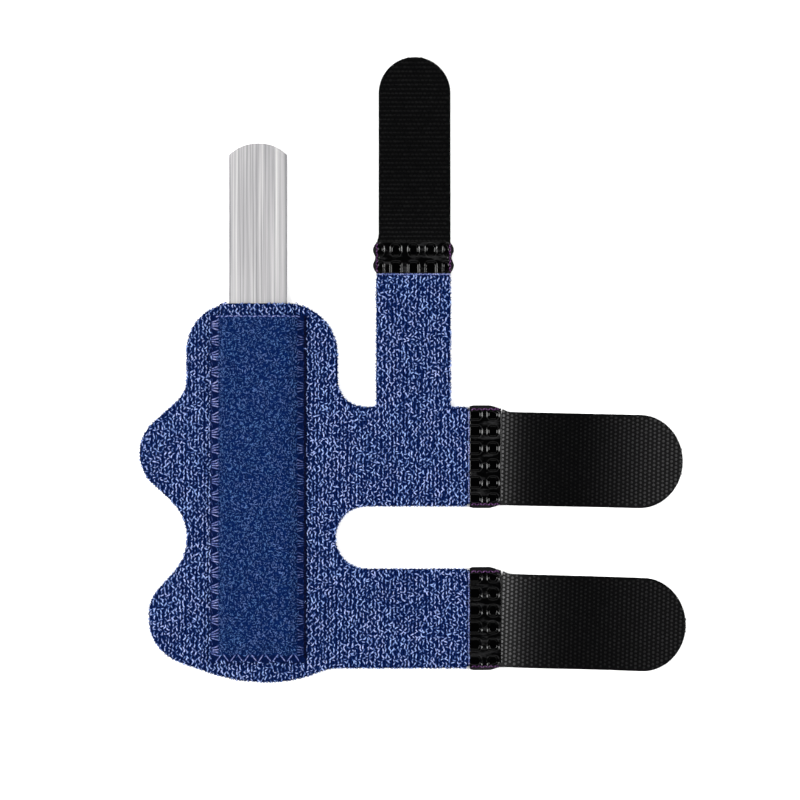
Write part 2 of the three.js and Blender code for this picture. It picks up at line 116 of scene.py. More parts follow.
# Hook tape
HOOK_ALONG = 1.16 * MM
HOOK_ACROSS = 1.07 * MM
HOOK_SIZE = (0.4 * MM, 0.42 * MM, 0.28 * MM)  # half sizes along, across and up
RIB_SIZE = (0.34 * MM, 0.6 * MM, 0.26 * MM)  # those of the top strap, which run together into ribs
HOOK_JITTER = 0.03 * MM
HOOK_SCALES = (0.88, 1.1)
HOOK_MARGIN = 0.45 * MM
HOOK_START = 0.4 * MM  # from the band's face to the first row
HOOK_TWIST = 0.15  # radians to either side
TAPE_GROUND = 0.72 * MM  # thickness of the woven ground under the hooks
TAPE_EDGE = 0.22 * MM  # radius of the rounding of its upper edges
TAPE_EDGE_MOST = 0.6  # and its largest share of a section's half width
TAPE_UNDER_EDGE = 0.6  # rounding of the lower edges, as a share of the upper ones'
TAPE_STEP = 0.8 * MM
TAPE_FIRST_STEPS = (0.1 * MM, 0.7 * MM)
TAPE_TIP_STEPS = 22
TAPE_TIP_END = 0.985  # share of the quarter circle at which the tip ends in a short straight edge
STRAP_ROOT = 3.4 * MM  # how far a strap's root goes into its band
STRAP_TUCK = 0.5 * MM  # how much narrower the root is on each side
STRAP_FLARE = (-0.66 * MM, 2.2 * MM)  # where the tape begins and ends to ease in from the band end's width
STRAP_LIFT = 0.8 * MM

# Each strap's direction from +X in degrees, lean, sizes past its band, and how far it sits to the left of
# the band's middle.
STRAP_COLUMNS = ("angle", "lean", "width", "reach", "tip", "shift")
STRAP_ROWS = {
    "top": (90.0, 0.0, 19.2 * MM, 49.5 * MM, 9.6 * MM, -0.3 * MM),
    "upper": (0.0, -1.3, 25 * MM, 48.6 * MM, 11.5 * MM, -0.5 * MM),
    "lower": (0.0, -1.8, 25 * MM, 49.4 * MM, 11.5 * MM, -0.5 * MM),
}
STRAPS = {name: dict(zip(STRAP_COLUMNS, row)) for name, row in STRAP_ROWS.items()}
# How grey each strap's hooks are made by painted light: at the root, how far from it that lasts, and at the
# tip.
STRAP_PAINTED_LIGHT = {
    "top": (0.015, 5 * MM, 0.003),
    "upper": (1.0, 1.1 * MM, 0.125),
    "lower": (1.0, 2.0 * MM, 0.047),
}
PAINTED_LIGHT_FADE = 0.7  # below 1 the painted light drops fast at first and then slowly
PAINTED_LIGHT_TIP_FROM = 0.4  # share of the reach from which the tip's painted light sets in
# A strap's wave: share of its reach, and its underside's height as a share of STRAP_LIFT.
STRAP_WAVE = (
    (0.0, 1.0),
    (0.04, 1.02),
    (0.1, 1.3),
    (0.17, 1.38),
    (0.26, 1.05),
    (0.36, 0.55),
    (0.47, 0.15),
    (0.58, 0.05),
    (0.7, 0.35),
    (0.85, 0.95),
    (1.0, 1.6),
)

# Joint bands
BAND_STEP = 0.14 * MM
BAND_TUNNEL = (0.6 * MM, 2.0 * MM)  # floor and roof of the space that the tape goes through
BAND_TUNNEL_SIDE = 0.85 * MM  # from the band's side to that space
BAND_WAIST = 0.62 * MM  # how far the top band's side draws in between its bulges
BAND_CORNER = 0.35 * MM  # and at its ends
BAND_ROOT_TAPER = 0.2 * MM  # how far a finger band's side draws in at the knit
BAND_TIP_TAPER = 0.95 * MM  # and at the strap
BAND_ENDS = {"corner": (0.0, 0.1), "root": (0.0, 0.12), "tip": (0.6, 1.05)}  # shares of the band's length
BAND_SHOULDER = (1.2 * MM, 1.1 * MM)  # width and drop of the rounded border along a side
BAND_FOOT = 0.35 * MM  # height of the underside's outer corner
BAND_TOP_GAP = 0.05 * MM  # from the solid's top
BAND_WOBBLE = (1.6 * MM, 0.02 * MM)  # length and height
BORDER_FROM = 0.12  # share of a border from which the plastic is dull
WELL_COLUMNS = (1.6 * MM, 6.15 * MM)  # the two columns' middles, from the knit side
FINGER_WELLS = {"rows": 6, "pitch": 4.54 * MM, "half": (1.8 * MM, 1.65 * MM)}  # half sizes along and across
TOP_WELLS = {"rows": 5, "pitch": 4.67 * MM, "half": (1.8 * MM, 1.7 * MM)}
WELL_FADE = (0.7 * MM, 1.5 * MM)  # a well near the band's side is shallower between these distances from it
WELL_SQUARENESS = 3.2  # 2 would be an ellipse
WELL_BEVEL = 0.36 * MM  # width of the slope beside a well
WELL_BEVEL_SLOPE = 0.42
WELL_BEVEL_SIDES = (0.45, 0.9)  # how squarely a side faces left or right where the slope begins and is full
TOP_WELL_BEVEL = 0.4  # share of the slope all round the top band's wells on the knit side
WELL_OPENING = 0.25  # share to which distances towards the knit shrink, so these wells run out to it
WELL_WALL_SLOPE = 3.0
WELL_DEPTH = 0.95 * MM
RIDGE_DEPTH = 0.3 * MM  # deeper places are part of a well

# Share of a colour as it is seen that a piece sends back, because the lights make the floor pure white
COLOUR_SHARE = 0.5
METAL_SHARE = 0.56

# Colours of each yarn: its foot in painted shade, its body, and the painted highlights on the crests of its
# two casts
YARNS = {
    "knit_yarn": ((0.0004, 0.003, 0.05), (0.06, 0.125, 0.39), (0.62, 0.72, 1.24), (0.48, 0.68, 1.24)),
    "velour_pile": ((0.0002, 0.005, 0.055), (0.008, 0.036, 0.18), (0.15, 0.25, 0.6), (0.11, 0.24, 0.58)),
    "seam_thread": ((0.001, 0.006, 0.06), (0.1, 0.14, 0.42), (0.8, 0.8, 1.3), (0.56, 0.68, 1.2)),
    "shaded_thread": ((0.0004, 0.003, 0.035), (0.018, 0.04, 0.17), (0.24, 0.28, 0.6), (0.17, 0.26, 0.56)),
    # near-black thread for the painted shadow along the panel's right edge
    "shadow_line_thread": ((0.001, 0.001, 0.01), (0.002, 0.003, 0.02), (0.01, 0.012, 0.05), (0.01, 0.012, 0.05)),
    "band_thread": ((0.008, 0.001, 0.012), (0.08, 0.02, 0.1), (0.5, 0.28, 0.55), (0.35, 0.14, 0.42)),
}

# Camera: straight above, as the photograph looks at the splint's front
PHOTO_PIXELS = 800
PIXEL_SIZE = 0.267 * MM
PHOTO_ORIGIN = (258, 490)  # the row frame's origin in the photograph
LENS = 100.0
SENSOR = 36.0
PIXEL_HEIGHT = 2.4 * MM  # height above the floor at which a pixel is that size

# Studio: the floor, and each softbox's place, size and power
FLOOR_REACH = 0.75  # from the middle to each side
FLOOR_DROP = 0.1 * MM  # how far the floor lies below the wrap's resting face
SURROUND_LIGHT = 0.035
SOFTBOXES = {
    "light_left": ((-0.62, 0.05, 0.62), (0.2, 0.7), 11.5),
    "light_right": ((0.75, 0.05, 0.6), (0.2, 0.7), 9.5),
    "light_far": ((0.04, 0.75, 0.6), (1.6, 0.9), 7.5),
    "light_near": ((0.04, -0.7, 0.6), (1.6, 0.9), 6.5),
}


# Node helpers

def socket(sockets, key):
    """A node's socket by its name or its place among those in use."""
    shown = [s for s in sockets if s.enabled]
    return shown[key] if isinstance(key, int) else next(s for s in shown if s.name == key)


def add(tree, kind, inputs=None, **settings):
    """A node with its settings, and its inputs given values or joined to other nodes' outputs."""
    node = tree.nodes.new(kind)
    for key, value in settings.items():
        setattr(node, key, value)
    for key, value in (inputs or {}).items():
        target = socket(node.inputs, key)
        if isinstance(value, bpy.types.NodeSocket):
            tree.links.new(value, target)
        else:
            target.default_value = value
    return node


def made(tree, kind, inputs=None, **settings):
    """The first output of a new node."""
    return socket(add(tree, kind, inputs, **settings).outputs, 0)


def math_of(tree, operation, *values):
    return made(tree, "ShaderNodeMath", dict(enumerate(values)), operation=operation)


def plus(tree, one, other):
    return math_of(tree, "ADD", one, other)


def minus(tree, one, other):
    return math_of(tree, "SUBTRACT", one, other)


def times(tree, one, other):
    return math_of(tree, "MULTIPLY", one, other)


def over(tree, one, other):
    return math_of(tree, "DIVIDE", one, other)


def times_plus(tree, one, other, more):
    return math_of(tree, "MULTIPLY_ADD", one, other, more)


def vector_of(tree, operation, *values):
    return made(tree, "ShaderNodeVectorMath", dict(enumerate(values)), operation=operation)


def scaled(tree, vector, scale):
    return made(tree, "ShaderNodeVectorMath", {0: vector, "Scale": scale}, operation="SCALE")


def axis_of(tree, vector, axis):
    return socket(add(tree, "ShaderNodeSeparateXYZ", {"Vector": vector}).outputs, axis)


def xyz(tree, x=0.0, y=0.0, z=0.0):
    return made(tree, "ShaderNodeCombineXYZ", {"X": x, "Y": y, "Z": z})


def remap(tree, value, low, high, new_low=0.0, new_high=1.0):
    """A value moved from one range to another, and kept inside it."""
    ends = {"From Min": low, "From Max": high, "To Min": new_low, "To Max": new_high}
    return made(tree, "ShaderNodeMapRange", {"Value": value, **ends})


# Materials

def new_material(name):
    """A material without nodes, and its tree."""
    material = bpy.data.materials.new(name)
    material.use_nodes = True
    material.node_tree.nodes.clear()
    return material, material.node_tree


def finished(material, colour, roughness, specular=0.5, relief=None, depth=0.0, strength=1.0, metal=0.0):
    """The material with its tree ended in a shader, and with relief of a depth where a height is given."""
    tree = material.node_tree
    inputs = {"Base Color": colour, "Roughness": roughness, "Metallic": metal}
    inputs["Specular IOR Level"] = specular
    if relief is not None:
        bump = {"Height": relief, "Distance": depth, "Strength": strength}
        inputs["Normal"] = made(tree, "ShaderNodeBump", bump)
    shader = made(tree, "ShaderNodeBsdfPrincipled", inputs)
    add(tree, "ShaderNodeOutputMaterial", {"Surface": shader})
    return material


def place_in_mm(tree, scale=(1, 1, 1)):
    """Object coordinates in millimetres, scaled along each axis."""
    place = add(tree, "ShaderNodeTexCoord").outputs["Object"]
    return made(tree, "ShaderNodeMapping", {"Vector": place, "Scale": [s / MM for s in scale]})


def speckle(tree, place, per_unit, detail=2.0, roughness=0.5):
    """Noise from 0 to 1 with that many features to the unit of the place."""
    inputs = {"Vector": place, "Scale": per_unit, "Detail": detail, "Roughness": roughness}
    return add(tree, "ShaderNodeTexNoise", inputs).outputs["Fac"]


def waves(tree, place, axis, scale, distortion):
    """Wavering lines across an axis."""
    inputs = {"Vector": place, "Scale": scale, "Distortion": distortion, "Detail": 2, "Detail Scale": 2.5}
    return add(tree, "ShaderNodeTexWave", inputs, bands_direction=axis).outputs["Fac"]


def ramp(tree, value, *stops, share=COLOUR_SHARE):
    """Colours along a value: each stop is a place from 0 to 1 and a colour."""
    node = add(tree, "ShaderNodeValToRGB", {"Fac": value})
    elements = node.color_ramp.elements
    while len(elements) < len(stops):
        elements.new(0.5)
    for element, (at, colour) in zip(elements, stops):
        element.position = at
        element.color = (*(share * c for c in colour), 1)
    return node.outputs["Color"]


def mixed(tree, share, one, other, **settings):
    """One colour mixed with another."""
    node = add(tree, "ShaderNodeMix", {"Factor": share, "A": one, "B": other}, data_type="RGBA", **settings)
    return socket(node.outputs, "Result")


def named_value(tree, name):
    return add(tree, "ShaderNodeAttribute", attribute_name=name).outputs["Fac"]


def painted_light_colour(tree, colour, lightest):
    """A colour with the grey of its painted light on top."""
    painted_light = ramp(tree, named_value(tree, "painted_light"), (0.0, (0, 0, 0)), (1.0, lightest))
    return mixed(tree, 1.0, colour, painted_light, blend_type="ADD")


def yarn_material(name, patchy=0.2):
    """Yarn or pile whose colour runs from painted shade at its foot to a painted highlight at its crest, in
    strands of two casts.
    """
    material, tree = new_material(name)
    foot, body, *crest_highlights = YARNS[name]
    place = place_in_mm(tree)
    heather = speckle(tree, place, 0.35, 3)
    ply = remap(tree, speckle(tree, place, 1.6, 2, 0.7), 0.35, 0.65)
    # painted light and shade: each strand lighter at its crest and darker at its foot
    light = times_plus(tree, named_value(tree, "crest_light"), 0.62, times(tree, ply, 0.3))
    light = times_plus(tree, named_value(tree, "tone"), 0.34, light)
    light = times_plus(tree, heather, patchy, minus(tree, light, 0.17 + patchy / 2))
    casts = [ramp(tree, light, (0.12, foot), (0.5, body), (0.9, crest_light)) for crest_light in crest_highlights]
    cast = remap(tree, speckle(tree, place, 0.22, 4, 0.7), 0.42, 0.58)
    look = {"relief": speckle(tree, place, 9, 3), "depth": 0.05 * MM, "strength": 0.6}
    return finished(material, mixed(tree, cast, *casts), roughness=0.9, specular=0.03, **look)


def knit_ground_material():
    """The knit between and behind the loops: fine upright stitch columns in dark blue, partly painted shade
    between the loops, with painted shade in their hollows and painted light on their tops.
    """
    material, tree = new_material("knit_ground")
    place = place_in_mm(tree)
    wales = waves(tree, place, "X", 0.42, 1.2)
    courses = waves(tree, place, "Y", 0.5, 1.5)
    stitches = times(tree, wales, times_plus(tree, courses, 0.6, 0.4))
    height = times_plus(tree, speckle(tree, place, 1.5, 4), 0.5, times(tree, stitches, 0.5))
    # painted shade and light: the ground darker in its hollows and lighter on its tops, and dark overall for
    # the shade between the loops
    shaded_hollow, usual, lit_top = (0.0002, 0.003, 0.035), (0.001, 0.01, 0.075), (0.012, 0.04, 0.17)
    colour = ramp(tree, height, (0.2, shaded_hollow), (0.5, usual), (0.85, lit_top))
    return finished(material, colour, 0.92, specular=0.02, relief=height, depth=0.25 * MM, strength=0.8)


def velour_ground_material():
    """The velour under its pile: darker at the sewn edges."""
    material, tree = new_material("velour_ground")
    place = place_in_mm(tree)
    fuzz = speckle(tree, place, 2.2, 4, 0.65)
    pile = ramp(tree, fuzz, (0.3, (0.0002, 0.008, 0.07)), (0.7, (0.004, 0.026, 0.14)))
    seam = ramp(tree, fuzz, (0.3, (0.0002, 0.003, 0.035)), (0.7, (0.003, 0.014, 0.085)))
    low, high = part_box("pocket_panel")
    blur = 0.3  # millimetres to each side of where the pile begins
    side = ((high.x - low.x) / 2 - PILE_INSET) / MM
    foot = (low.y + PILE_INSET) / MM
    from_middle = math_of(tree, "ABSOLUTE", axis_of(tree, place, "X"))
    at_side = remap(tree, from_middle, side - blur, side + blur)
    at_foot = remap(tree, axis_of(tree, place, "Y"), foot - blur, foot + blur, 1.0, 0.0)
    colour = mixed(tree, math_of(tree, "MAXIMUM", at_side, at_foot), pile, seam)
    return finished(material, colour, 0.95, specular=0.02, relief=fuzz, depth=0.3 * MM, strength=0.9)


def aluminium_material():
    """Aluminium brushed along the stay: fine upright streaks of several widths, darker at its two sides."""
    material, tree = new_material("brushed_aluminium")
    fine = speckle(tree, place_in_mm(tree, (1, 0.006, 1)), 3.2, 3, 0.6)
    broad = speckle(tree, place_in_mm(tree, (1, 0.003, 1)), 0.9, 2, 0.5)
    streaks = times_plus(tree, broad, 0.4, times(tree, fine, 0.6))
    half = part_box("stay")[1].x / MM
    from_middle = math_of(tree, "ABSOLUTE", axis_of(tree, place_in_mm(tree), "X"))
    shade = remap(tree, from_middle, half - 0.45, half - 0.15, 0.0, 0.22)
    streaks = minus(tree, streaks, shade)
    darkest, usual, lightest = (0.3, 0.3, 0.315), (0.59, 0.58, 0.59), (0.88, 0.87, 0.86)
    colour = ramp(tree, streaks, (0.32, darkest), (0.5, usual), (0.66, lightest), share=METAL_SHARE)
    roughness = remap(tree, fine, 0.3, 0.7, 0.5, 0.6)
    return finished(material, colour, roughness, relief=streaks, depth=0.06 * MM, strength=0.5, metal=0.9)


def tape_material():
    """The tape's woven ground: matt black with fine cross threads, with painted light in grey in places."""
    material, tree = new_material("tape_ground")
    weave = speckle(tree, place_in_mm(tree), 3.0, 3, 0.6)
    colour = ramp(tree, weave, (0.3, (0.0008, 0.0008, 0.001)), (0.75, (0.004, 0.004, 0.0042)))
    colour = painted_light_colour(tree, colour, (0.065, 0.065, 0.065))
    roughness = remap(tree, weave, 0.3, 0.7, 0.6, 0.85)
    return finished(material, colour, roughness, specular=0.01, relief=weave, depth=0.12 * MM, strength=0.7)


def hook_material():
    """The hooks: charcoal nylon that differs a little from hook to hook, with painted light in grey in
    places.
    """
    material, tree = new_material("tape_hooks")
    place = place_in_mm(tree)
    own = times(tree, named_value(tree, "tone"), 0.5)
    tone = times_plus(tree, speckle(tree, place, 0.25, 2), 0.5, own)
    colour = ramp(tree, tone, (0.2, (0.0012, 0.0012, 0.0014)), (0.8, (0.006, 0.006, 0.0062)))
    colour = painted_light_colour(tree, colour, (0.38, 0.38, 0.385))
    roughness = remap(tree, speckle(tree, place, 4, 2), 0.3, 0.7, 0.45, 0.6)
    grain = speckle(tree, place, 6, 2)
    return finished(material, colour, roughness, specular=0.035, relief=grain, depth=0.04 * MM, strength=0.4)


def band_material():
    """The bands' pressed plastic: black gloss, with painted sheen in faint long grey patches on the ridges.
    """
    material, tree = new_material("pressed_plastic")
    ridge = named_value(tree, "ridge")
    ripple = speckle(tree, place_in_mm(tree), 0.9, 3, 0.55)
    sheen_patches = speckle(tree, place_in_mm(tree, (0.3, 1, 1)), 0.7, 4, 0.65)
    # painted sheen: faint grey on the ridges between the wells
    painted_sheen = times(tree, ridge, remap(tree, sheen_patches, 0.48, 0.72))
    colour = ramp(tree, painted_sheen, (0.1, (0.0002, 0.0002, 0.0003)), (0.9, (0.028, 0.028, 0.029)))
    roughness = times_plus(tree, ridge, 0.06, remap(tree, ripple, 0.3, 0.7, 0.08, 0.12))
    return finished(material, colour, roughness, specular=0.2, relief=ripple, depth=0.05 * MM, strength=0.2)


def border_material():
    """The bands' dull sewn border: black with a fine grain."""
    material, tree = new_material("band_border")
    grain = speckle(tree, place_in_mm(tree), 2.5, 3, 0.6)
    colour = ramp(tree, grain, (0.35, (0.0004, 0.0004, 0.0006)), (0.8, (0.006, 0.005, 0.008)))
    return finished(material, colour, 0.6, specular=0.06, relief=grain, depth=0.1 * MM, strength=0.6)


def floor_material():
    """A pale studio floor with a hardly visible grain."""
    material, tree = new_material("pale_floor")
    grain = speckle(tree, place_in_mm(tree), 0.05, 3)
    colour = ramp(tree, grain, (0.2, (0.94, 0.94, 0.94)), (0.8, (0.97, 0.97, 0.97)), share=1)
    return finished(material, colour, 0.9)


# Meshes

def link(name, data):
    """A new object of the scene."""
    piece = bpy.data.objects.new(name, data)
    bpy.context.scene.collection.objects.link(piece)
    return piece


def new_piece(name, mesh, material):
    """An object at the origin with its material, riding on the wrap's body."""
    mesh.materials.clear()
    mesh.materials.append(material)
    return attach(link(name, mesh), BODY)


def reworked(mesh, work_on):
    """Changes a mesh in place by a function of its bmesh."""
    work = bmesh.new()
    work.from_mesh(mesh)
    work_on(work)
    work.to_mesh(mesh)
    work.free()
    return mesh


def cad_copy(node, name):
    """A CAD node's mesh as a mesh of its own, with its corners merged."""
    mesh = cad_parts[node].data.copy()
    mesh.name = name
    return reworked(mesh, lambda work: bmesh.ops.remove_doubles(work, verts=work.verts, dist=MERGE_DISTANCE))


def set_values(mesh, name, values):
    """Gives a mesh a named value on each point."""
    mesh.attributes.new(name, "FLOAT", "POINT").data.foreach_set("value", np.asarray(values, np.float32))


def mesh_of_faces(name, points, faces, values=None):
    """A smooth mesh from points and faces, with named values on its points."""
    mesh = bpy.data.meshes.new(name)
    mesh.from_pydata([tuple(p) for p in points], [], faces)
    for key, data in (values or {}).items():
        set_values(mesh, key, data)
    mesh.validate()
    mesh.shade_smooth()
    return mesh


def evaluated_mesh(piece, name):
    """A plain mesh of a piece with its modifiers worked in."""
    bpy.context.view_layer.update()
    mesh = bpy.data.meshes.new_from_object(piece.evaluated_get(bpy.context.evaluated_depsgraph_get()))
    mesh.name = name
    return mesh


def joined_strips(rings, closed_ends=True):
    """Faces of rings of points with as many points each, all the way round, with capped ends."""
    count = len(rings[0])
    faces = []
    for i in range(len(rings) - 1):
        for j in range(count):
            k = (j + 1) % count
            faces.append((i * count + j, i * count + k, (i + 1) * count + k, (i + 1) * count + j))
    if closed_ends:
        last = (len(rings) - 1) * count
        faces.append(tuple(reversed(range(count))))
        faces.append(tuple(range(last, last + count)))
    return faces


def in_plane(x, y):
    """A place or a direction along the floor."""
    return Vector((x, y, 0))


# Geometry trees

def new_tree(name, vectors, floats):
    """A geometry tree that takes the cloth, places, sizes and the material, and those inputs by name."""
    tree = bpy.data.node_groups.new(name, "GeometryNodeTree")
    tree.interface.new_socket("Geometry", in_out="OUTPUT", socket_type="NodeSocketGeometry")
    kinds = {"Cloth": "Geometry", **dict.fromkeys(vectors, "Vector"), **dict.fromkeys(floats, "Float")}
    for size, kind in {**kinds, "Material": "Material"}.items():
        tree.interface.new_socket(size, in_out="INPUT", socket_type="NodeSocket" + kind)
    group = tree.nodes.new("NodeGroupInput")
    return tree, {s.name: s for s in group.outputs if s.name}


def finish_tree(tree, geometry, material):
    """Ends a tree in real geometry with its material."""
    real = made(tree, "GeometryNodeRealizeInstances", {"Geometry": geometry})
    dressed = made(tree, "GeometryNodeSetMaterial", {"Geometry": real, "Material": material})
    add(tree, "NodeGroupOutput", {"Geometry": dressed})
    return tree


def grow(tree, cloth_mesh, name, sizes):
    """What a tree makes on a cloth's mesh, as a plain smooth mesh."""
    carrier = link(name, cloth_mesh)
    modifier = carrier.modifiers.new(name, "NODES")
    modifier.node_group = tree
    for item in tree.interface.items_tree:
        if item.in_out == "INPUT" and item.name in sizes:
            modifier[item.identifier] = sizes[item.name]
    mesh = evaluated_mesh(carrier, name)
    carrier.modifiers.clear()
    bpy.data.objects.remove(carrier)
    mesh.shade_smooth()
    return mesh


def random_between(tree, low, high, seed, **identity):
    """A random number for each point, or for each value of an ID."""
    inputs = {"Min": low, "Max": high, "Seed": seed, **identity}
    return made(tree, "FunctionNodeRandomValue", inputs, data_type="FLOAT")


def stored(tree, geometry, name, value, domain="POINT"):
    """Geometry that carries a named value."""
    inputs = {"Geometry": geometry, "Name": name, "Value": value}
    return made(tree, "GeometryNodeStoreNamedAttribute", inputs, data_type="FLOAT", domain=domain)


def without(tree, points, selection):
    """Points without the selected ones."""
    inputs = {"Geometry": points, "Selection": selection}
    return made(tree, "GeometryNodeDeleteGeometry", inputs, domain="POINT")


def ray_down(tree, cloth):
    """A ray from above each point straight down to the cloth."""
    above = vector_of(tree, "ADD", made(tree, "GeometryNodeInputPosition"), (0, 0, RAY_RISE))
    inputs = {"Source Position": above, "Ray Direction": (0, 0, -1), "Ray Length": 2 * RAY_RISE}
    return add(tree, "GeometryNodeRaycast", {"Target Geometry": cloth, **inputs})


def dropped_on(tree, points, cloth):
    """Points moved straight down onto the cloth, without those that miss it or meet a steep place."""
    ray = ray_down(tree, cloth)
    level = math_of(tree, "GREATER_THAN", axis_of(tree, ray.outputs["Hit Normal"], "Z"), LEVEL_FROM)
    missed = math_of(tree, "LESS_THAN", times(tree, ray.outputs["Is Hit"], level), 0.5)
    held = without(tree, points, missed)
    laid = made(tree, "GeometryNodeSetPosition", {"Geometry": held, "Position": ray.outputs["Hit Position"]})
    return laid, ray.outputs["Hit Normal"]


def turned_to(tree, normal, spin):
    """A rotation whose Z axis is along a normal, spun about it."""
    upright = made(tree, "FunctionNodeAlignRotationToVector", {"Vector": normal}, axis="Z")
    turn = made(tree, "FunctionNodeEulerToRotation", {"Euler": xyz(tree, z=spin)})
    both = {"Rotation": upright, "Rotate By": turn}
    return made(tree, "FunctionNodeRotateRotation", both, rotation_space="LOCAL")


def tube(tree, line, radius, sides):
    """A round mesh along a line, closed at its ends."""
    circle = made(tree, "GeometryNodeCurvePrimitiveCircle", {"Resolution": sides, "Radius": radius})
    inputs = {"Curve": line, "Profile Curve": circle, "Fill Caps": True}
    return made(tree, "GeometryNodeCurveToMesh", inputs)


def strand(tree, start, middle, end, radius, steps, sides):
    """A bent strand that thins towards its ends, with its height along it kept as a named value, by which
    light is painted on its crest and shade at its ends.
    """
    ends = {"Resolution": steps, "Start": start, "Middle": middle, "End": end}
    line = made(tree, "GeometryNodeCurveQuadraticBezier", ends)
    along = made(tree, "GeometryNodeSplineParameter")
    from_middle = math_of(tree, "ABSOLUTE", times_plus(tree, along, 2.0, -1.0))
    line = stored(tree, line, "crest_light", minus(tree, 1.0, times(tree, from_middle, from_middle)))
    thin = minus(tree, 1.0, times(tree, math_of(tree, "POWER", from_middle, 3.0), 0.55))
    line = made(tree, "GeometryNodeSetCurveRadius", {"Curve": line, "Radius": thin})
    return tube(tree, line, radius, sides)


def planted(tree, points, unit, rotation, scales, seed):
    """Units on points in varied sizes, each with its own value tone from 0 to 1."""
    size = random_between(tree, *scales, seed)
    inputs = {"Points": points, "Instance": unit, "Rotation": rotation, "Scale": size}
    placed = made(tree, "GeometryNodeInstanceOnPoints", inputs)
    return stored(tree, placed, "tone", random_between(tree, 0.0, 1.0, seed + 1), "INSTANCE")


def scattered(tree, cloth, selection, spacing, density, factor, seed):
    """Points spread over the selected part of a cloth, none nearer to another than the spacing."""
    inputs = {"Mesh": cloth, "Selection": selection, "Distance Min": spacing, "Density Max": density}
    inputs.update({"Density Factor": factor, "Seed": seed})
    return add(tree, "GeometryNodeDistributePointsOnFaces", inputs, distribute_method="POISSON")


def staggered_points(tree, size, along_x, along_y, jitter, seed):
    """Points in columns between two corners, every second column half a step up, and each a little astray.

    With the points comes a value that is 0 and 1 by turns from each point to its neighbours.
    """
    low_x, low_y = (axis_of(tree, size["Low"], axis) for axis in "XY")
    high_x, high_y = (axis_of(tree, size["High"], axis) for axis in "XY")
    columns = math_of(tree, "CEIL", over(tree, minus(tree, high_x, low_x), along_x))
    rows = math_of(tree, "CEIL", over(tree, minus(tree, high_y, low_y), along_y))
    index = made(tree, "GeometryNodeInputIndex")
    column = math_of(tree, "FLOOR", over(tree, plus(tree, index, 0.5), rows))
    row = minus(tree, index, times(tree, column, rows))
    half_up = times(tree, math_of(tree, "FLOORED_MODULO", column, 2.0), 0.5)
    x = times_plus(tree, column, along_x, low_x)
    y = times_plus(tree, plus(tree, row, half_up), along_y, low_y)
    off_x, off_y = (times(tree, random_between(tree, -1.0, 1.0, seed + k), jitter) for k in (0, 1))
    place = xyz(tree, plus(tree, x, off_x), plus(tree, y, off_y))
    points = made(tree, "GeometryNodePoints", {"Count": times(tree, columns, rows), "Position": place})
    return points, math_of(tree, "FLOORED_MODULO", plus(tree, row, column), 2.0)


def inside(tree, low, high, axes):
    """Whether a point lies between two corners along each of the axes."""
    place = made(tree, "GeometryNodeInputPosition")
    within = 1.0
    for axis in axes:
        at, least, most = (axis_of(tree, corner, axis) for corner in (place, low, high))
        within = times(tree, within, math_of(tree, "GREATER_THAN", at, least))
        within = times(tree, within, math_of(tree, "LESS_THAN", at, most))
    return within


def knit_loop(tree, size):
    """One loop head: a short bent strand that bows to one side and up."""
    half = times(tree, size["Loop Length"], 0.5)
    sunk = times(tree, size["Yarn Radius"], -0.6)
    start = xyz(tree, y=times(tree, half, -1.0), z=sunk)
    end = xyz(tree, y=half, z=sunk)
    middle = xyz(tree, x=size["Loop Bow"], z=times(tree, size["Loop Rise"], 2.0))
    return strand(tree, start, middle, end, size["Yarn Radius"], 3, 4)


def front_loop_tree():
    """Knit loops in upright wales on the cloth's front, but not under the panel."""
    tree, size = new_tree("front_loops", ("Low", "High", "Bare Low", "Bare High"), FRONT_LOOPS)
    wale, course = size["Wale Pitch"], size["Course Pitch"]
    points, by_turns = staggered_points(tree, size, wale, course, times(tree, wale, LOOP_JITTER), 11)
    lean = times(tree, times_plus(tree, by_turns, 2.0, -1.0), size["Loop Lean"])
    points = stored(tree, points, "lean", lean)
    points = without(tree, points, inside(tree, size["Bare Low"], size["Bare High"], "XY"))
    points, normal = dropped_on(tree, points, size["Cloth"])
    leaning = made(tree, "GeometryNodeInputNamedAttribute", {"Name": "lean"}, data_type="FLOAT")
    place = made(tree, "GeometryNodeInputPosition")
    patches = speckle(tree, place, LOOP_PATCHES, 1.0)
    looseness = remap(tree, patches, 0.36, 0.54, 0.25, 0.95)
    wander = times(tree, random_between(tree, -1.0, 1.0, 14), looseness)
    flip = times(tree, math_of(tree, "GREATER_THAN", random_between(tree, 0.0, 1.0, 15), 0.5), math.pi)
    turn = turned_to(tree, normal, plus(tree, plus(tree, leaning, wander), flip))
    front = planted(tree, points, knit_loop(tree, size), turn, LOOP_SCALES, 16)
    return finish_tree(tree, front, size["Material"])


def rim_loop_tree():
    """Small loops all round the cloth's cut edge, clear of the stay's path."""
    tree, size = new_tree("rim_loops", ("Stay Low", "Stay High"), RIM_LOOPS)
    steep = math_of(tree, "ABSOLUTE", axis_of(tree, made(tree, "GeometryNodeInputNormal"), "Z"))
    near_stay = inside(tree, size["Stay Low"], size["Stay High"], "XYZ")
    rim_only = minus(tree, math_of(tree, "LESS_THAN", steep, RIM_BELOW), near_stay)
    chosen = math_of(tree, "GREATER_THAN", rim_only, 0.5)
    rim = scattered(tree, size["Cloth"], chosen, size["Rim Spacing"], RIM_DENSITY, 1.0, 21)
    turn = turned_to(tree, rim.outputs["Normal"], random_between(tree, 0.0, 2 * math.pi, 22))
    around = planted(tree, rim.outputs["Points"], knit_loop(tree, size), turn, RIM_LOOP_SCALES, 23)
    return finish_tree(tree, around, size["Material"])


